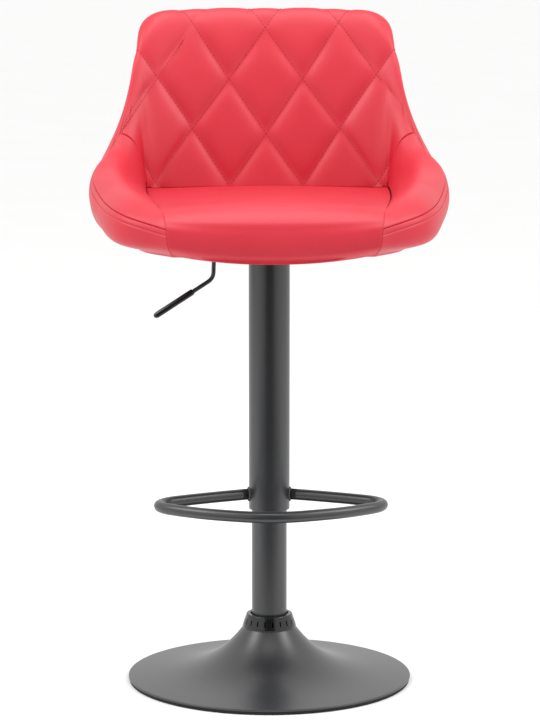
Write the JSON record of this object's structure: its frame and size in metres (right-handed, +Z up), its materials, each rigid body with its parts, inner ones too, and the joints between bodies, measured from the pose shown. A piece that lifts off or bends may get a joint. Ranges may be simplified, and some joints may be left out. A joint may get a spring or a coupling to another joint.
{
  "type": "adjustable swivel stool",
  "caption": "Bar stool with a quilted bucket seat on a gas-lift column that swivels and changes height, welded footrest and round trumpet foot.",
  "frame": {"origin": "on the column axis at floor level, under the foot", "axes": "+Z up, -Y towards the front of the seat and footrest, +X to the right seen from the front"},
  "size_m": [0.506, 0.4702, 0.9518],
  "materials": {
    "powder_coat": "fine satin powder coat, charcoal",
    "black_rubber": "matte",
    "black_plastic": "moulded, glossy",
    "zinc_plate": "zinc plated, dull",
    "bright_steel": "ground, bright",
    "nylon": "natural",
    "plywood": "raw beech plywood",
    "dust_cloth": "black non-woven cloth",
    "red_leatherette": "satin grained leatherette over foam"
  },
  "bodies": {
    "foot": {"base_shell": "powder_coat", "floor_ring": "black_rubber", "ballast_plate": "zinc_plate", "base_hub": "zinc_plate", "collar": "black_plastic", "standpipe": "powder_coat", "end_plate": "zinc_plate", "guide_bush": "nylon", "lower_race": "bright_steel"},
    "cage": {"bearing_cage": "bright_steel"},
    "rod": {"piston_rod": "bright_steel", "piston": "zinc_plate", "piston_seal": "black_rubber", "bumper": "black_rubber", "upper_race": "bright_steel", "retaining_clip": "zinc_plate", "rod_washer": "zinc_plate"},
    "upper": {"pressure_tube": "powder_coat", "rod_guide": "zinc_plate", "valve_body": "zinc_plate", "sleeve": "powder_coat", "sleeve_bush": "black_plastic", "sleeve_top_ring": "zinc_plate", "footrest": "powder_coat", "mount_pan": "powder_coat", "taper_socket": "powder_coat", "seat_bolt_1": "zinc_plate", "seat_bolt_2": "zinc_plate", "seat_bolt_3": "zinc_plate", "seat_bolt_4": "zinc_plate", "bolt_washer_1": "zinc_plate", "bolt_washer_2": "zinc_plate", "bolt_washer_3": "zinc_plate", "bolt_washer_4": "zinc_plate", "tee_nut_1": "zinc_plate", "tee_nut_2": "zinc_plate", "tee_nut_3": "zinc_plate", "tee_nut_4": "zinc_plate", "lever_bracket": "zinc_plate", "lever_pin": "bright_steel", "seat_board": "plywood", "seat_shell": "plywood", "dust_cover": "dust_cloth", "seat_cushion": "red_leatherette", "back_pad": "red_leatherette", "bolster_left": "red_leatherette", "bolster_right": "red_leatherette", "outer_cover_back": "red_leatherette", "outer_cover_left": "red_leatherette", "outer_cover_right": "red_leatherette"},
    "lever": {"lever_rod": "powder_coat", "lever_grip": "black_plastic"},
    "button": {"valve_button": "bright_steel"}
  },
  "joints": [
    {"name": "swivel", "type": "hinge", "parent": "foot", "child": "rod", "pos_m": [0, 0, 0.036], "axis": [0, 0, 1], "continuous": true},
    {"name": "cage_roll", "type": "hinge", "parent": "foot", "child": "cage", "pos_m": [0, 0, 0.031], "axis": [0, 0, 1], "continuous": true},
    {"name": "height", "type": "slide", "parent": "rod", "child": "upper", "axis": [0, 0, 1], "range_m": [-0.145, 0.07]},
    {"name": "lever_lift", "type": "hinge", "parent": "upper", "child": "lever", "pos_m": [-0.045, 0, 0.622], "axis": [0, 1, 0], "range_deg": [0, 6.5], "stiffness_Nm_per_rad": 4, "springref_deg": -8.59},
    {"name": "valve_press", "type": "slide", "parent": "upper", "child": "button", "axis": [0, 0, -1], "range_m": [0, 0.0056]}
  ],
  "couplings": [
    {"joint": "cage_roll", "follows": "swivel", "ratio": 0.5},
    {"joint": "valve_press", "follows": "lever_lift", "m_per_rad": 0.0485}
  ]
}
